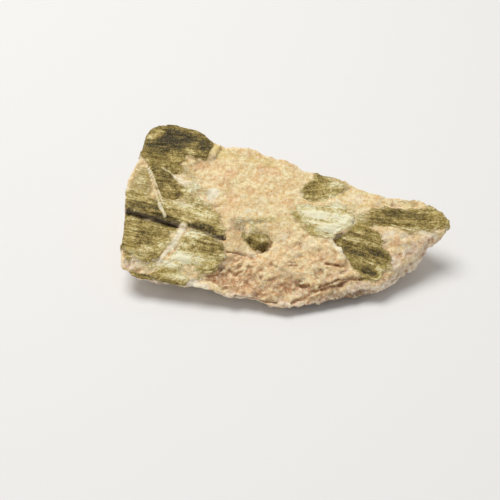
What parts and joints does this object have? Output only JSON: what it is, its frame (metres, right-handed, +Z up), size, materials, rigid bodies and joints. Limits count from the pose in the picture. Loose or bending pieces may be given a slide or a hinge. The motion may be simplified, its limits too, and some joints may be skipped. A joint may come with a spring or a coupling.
{
  "type": "tourmaline crystal cluster",
  "caption": "Rough block of pink and cream feldspar with striated green tourmaline crystals set in its sloping broken face, resting on a flat facet",
  "frame": {"origin": "on the ground, under the middle of the block's bounding box", "axes": "+X along the block towards its pointed end, +Y towards its high edge, +Z up"},
  "size_m": [0.0904, 0.051, 0.0257],
  "materials": {
    "feldspar": "rough broken stone, cream with pink mottling",
    "green_tourmaline": "olive green crystal, striated along its length",
    "pale_tourmaline": "pale yellow-green crystal with a glassy break"
  },
  "bodies": {
    "root": {"feldspar_matrix": "feldspar", "tourmaline_peak": "green_tourmaline", "tourmaline_left_band": "green_tourmaline", "tourmaline_left_dull": "green_tourmaline", "tourmaline_left_sheen": "green_tourmaline", "tourmaline_hollow": "green_tourmaline", "tourmaline_olive": "green_tourmaline", "tourmaline_pale": "pale_tourmaline", "tourmaline_dark": "green_tourmaline", "tourmaline_tip": "green_tourmaline"}
  },
  "joints": []
}
